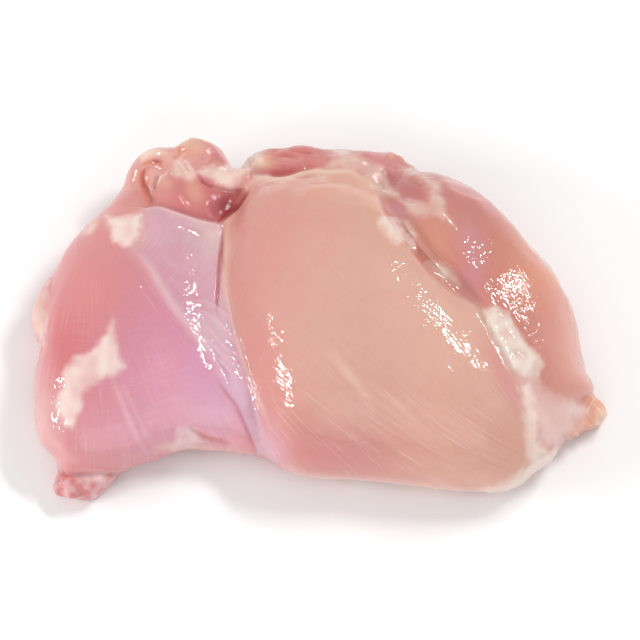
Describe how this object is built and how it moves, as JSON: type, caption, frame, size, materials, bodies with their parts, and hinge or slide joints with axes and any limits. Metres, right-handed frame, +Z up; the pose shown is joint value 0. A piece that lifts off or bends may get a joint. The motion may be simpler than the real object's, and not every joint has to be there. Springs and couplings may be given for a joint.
{
  "type": "raw chicken thigh",
  "caption": "Raw boneless, skinless poultry thigh, folded: rounded pink muscles with seams, a thin membrane and streaks of pale fat.",
  "frame": {"origin": "centre of the bounding box in plan, at the height of the flat underside that the piece rests on", "axes": "+X along the piece, towards its narrow pointed tip; +Y towards the uneven back edge; +Z up, out of the smooth rounded side"},
  "size_m": [0.1294, 0.0846, 0.0305],
  "materials": {
    "raw_meat": "wet"
  },
  "bodies": {
    "root": {"chicken_thigh": "raw_meat"}
  },
  "joints": []
}
